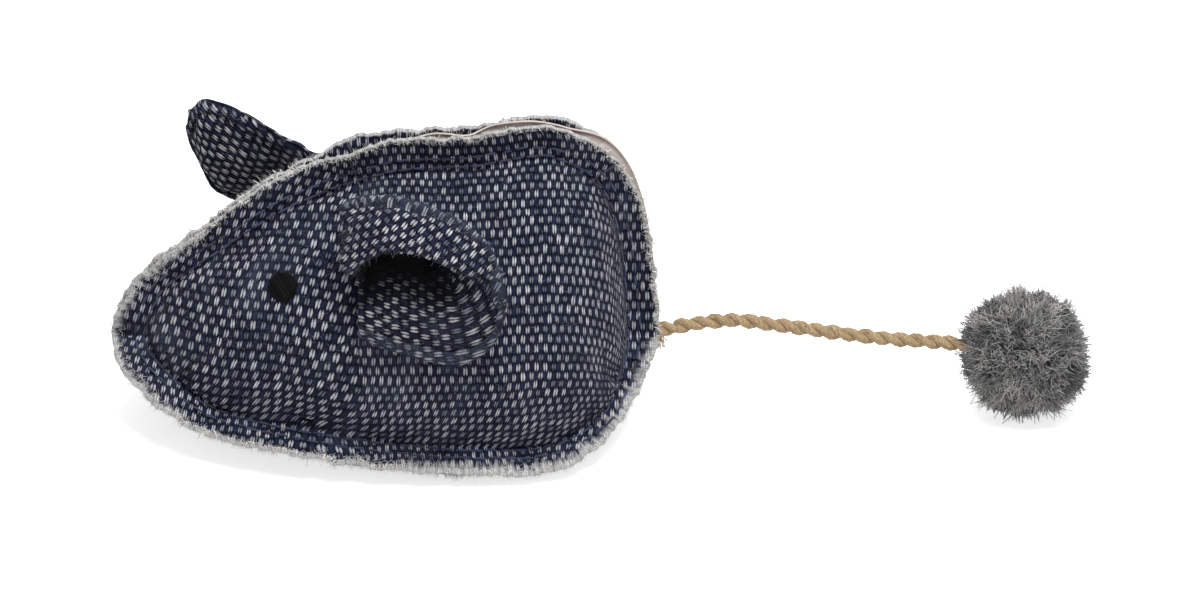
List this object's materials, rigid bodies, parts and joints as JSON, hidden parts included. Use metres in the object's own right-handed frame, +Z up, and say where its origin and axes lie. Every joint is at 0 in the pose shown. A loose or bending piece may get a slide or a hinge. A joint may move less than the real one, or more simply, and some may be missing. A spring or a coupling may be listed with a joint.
{
  "type": "catnip mouse",
  "caption": "Stuffed cloth mouse with frayed outside seams, soft ears, embroidered eyes, a twine tail and a yarn pompom, filled with fibre and catnip.",
  "frame": {"origin": "on the floor, in the middle plane, under the middle of the stuffed body between its nose and rump seams", "axes": "+X from the nose to the tail, +Z up, -Y the mouse's left side, which faces the picture's camera"},
  "size_m": [0.1793, 0.0633, 0.0616],
  "materials": {
    "body_cloth": "matte woven",
    "ear_cloth": "matte woven",
    "fibre": "loose fibre",
    "catnip": "matte",
    "suede_tape": "suede",
    "black_thread": "matte stitched",
    "jute": "fibrous twine",
    "grey_yarn": "fluffy"
  },
  "bodies": {
    "body": {"side_panel_left": "body_cloth", "side_panel_right": "body_cloth", "belly_panel": "body_cloth", "filling_front": "fibre", "filling_rear": "fibre", "catnip_sachet": "catnip", "spine_tape": "suede_tape", "eye_left": "black_thread", "eye_right": "black_thread", "tail_root": "jute"},
    "ear_left": {"ear_left_front": "ear_cloth", "ear_left_back": "ear_cloth"},
    "ear_right": {"ear_right_front": "ear_cloth", "ear_right_back": "ear_cloth"},
    "tail": {"tail_cord": "jute", "pompom_knot": "jute", "pompom": "grey_yarn"}
  },
  "joints": [
    {"name": "tail_swing", "type": "hinge", "parent": "body", "child": "tail", "pos_m": [0.0513, 0, 0.017], "axis": [0, 0, 1], "range_deg": [-60, 60]},
    {"name": "ear_left_lift", "type": "hinge", "parent": "body", "child": "ear_left", "pos_m": [-0.0054, -0.0197, 0.03576], "axis": [0, -0.5, -0.866], "range_deg": [0, 40], "stiffness_Nm_per_rad": 0.002},
    {"name": "ear_right_lift", "type": "hinge", "parent": "body", "child": "ear_right", "pos_m": [-0.0044, 0.0197, 0.03576], "axis": [0, -0.5, 0.866], "range_deg": [-20, 20], "stiffness_Nm_per_rad": 0.002}
  ]
}
